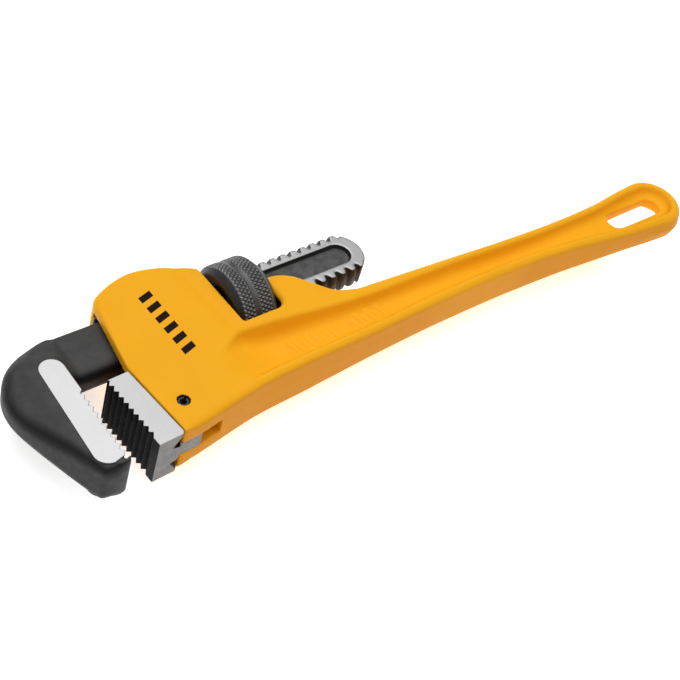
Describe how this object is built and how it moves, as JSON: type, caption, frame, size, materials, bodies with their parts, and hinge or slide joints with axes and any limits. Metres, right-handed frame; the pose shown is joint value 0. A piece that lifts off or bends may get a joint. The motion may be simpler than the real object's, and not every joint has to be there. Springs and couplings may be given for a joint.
{
  "type": "pipe wrench",
  "caption": "Straight heavy-duty pipe wrench with a sliding threaded hook jaw, a knurled adjusting nut and a pinned heel jaw.",
  "frame": {"origin": "on the threaded shank's axis in plan, half way between the mouth and the nut's window, on the housing's lower cheek", "axes": "+X along the shank towards the handle's end, -Y the side where the jaws open, +Z the thickness, square to the cheeks"},
  "size_m": [0.3064, 0.0737, 0.0318],
  "materials": {
    "painted_casting": "satin powder coat over ductile iron",
    "ground_steel": "ground, with blackened teeth",
    "spring_steel": "hardened spring steel",
    "blackened_forging": "satin blackened forging with bright ground strips",
    "blackened_nut": "knurled, black oxide"
  },
  "bodies": {
    "handle": {"handle_housing": "painted_casting", "heel_jaw": "ground_steel", "heel_jaw_pin": "spring_steel"},
    "rocker": {"flat_spring": "spring_steel", "coil_spring": "spring_steel"},
    "hook": {"hook_jaw": "blackened_forging"},
    "nut": {"adjusting_nut": "blackened_nut"}
  },
  "joints": [
    {"name": "jaw_rock", "type": "hinge", "parent": "handle", "child": "rocker", "pos_m": [0.0336, 0, 0.01], "axis": [0, 0, -1], "range_deg": [0, 2.3], "stiffness_Nm_per_rad": 25, "springref_deg": -2.86, "deforming": ["flat_spring", "coil_spring"]},
    {"name": "jaw_slide", "type": "slide", "parent": "rocker", "child": "hook", "axis": [-1, 0, 0], "range_m": [-0.0076, 0.045]},
    {"name": "nut_spin", "type": "hinge", "parent": "rocker", "child": "nut", "pos_m": [0.0336, 0, 0.01], "axis": [1, 0, 0], "range_deg": [-571, 3376]}
  ],
  "couplings": [
    {"joint": "nut_spin", "follows": "jaw_slide", "rad_per_m": 1309}
  ]
}
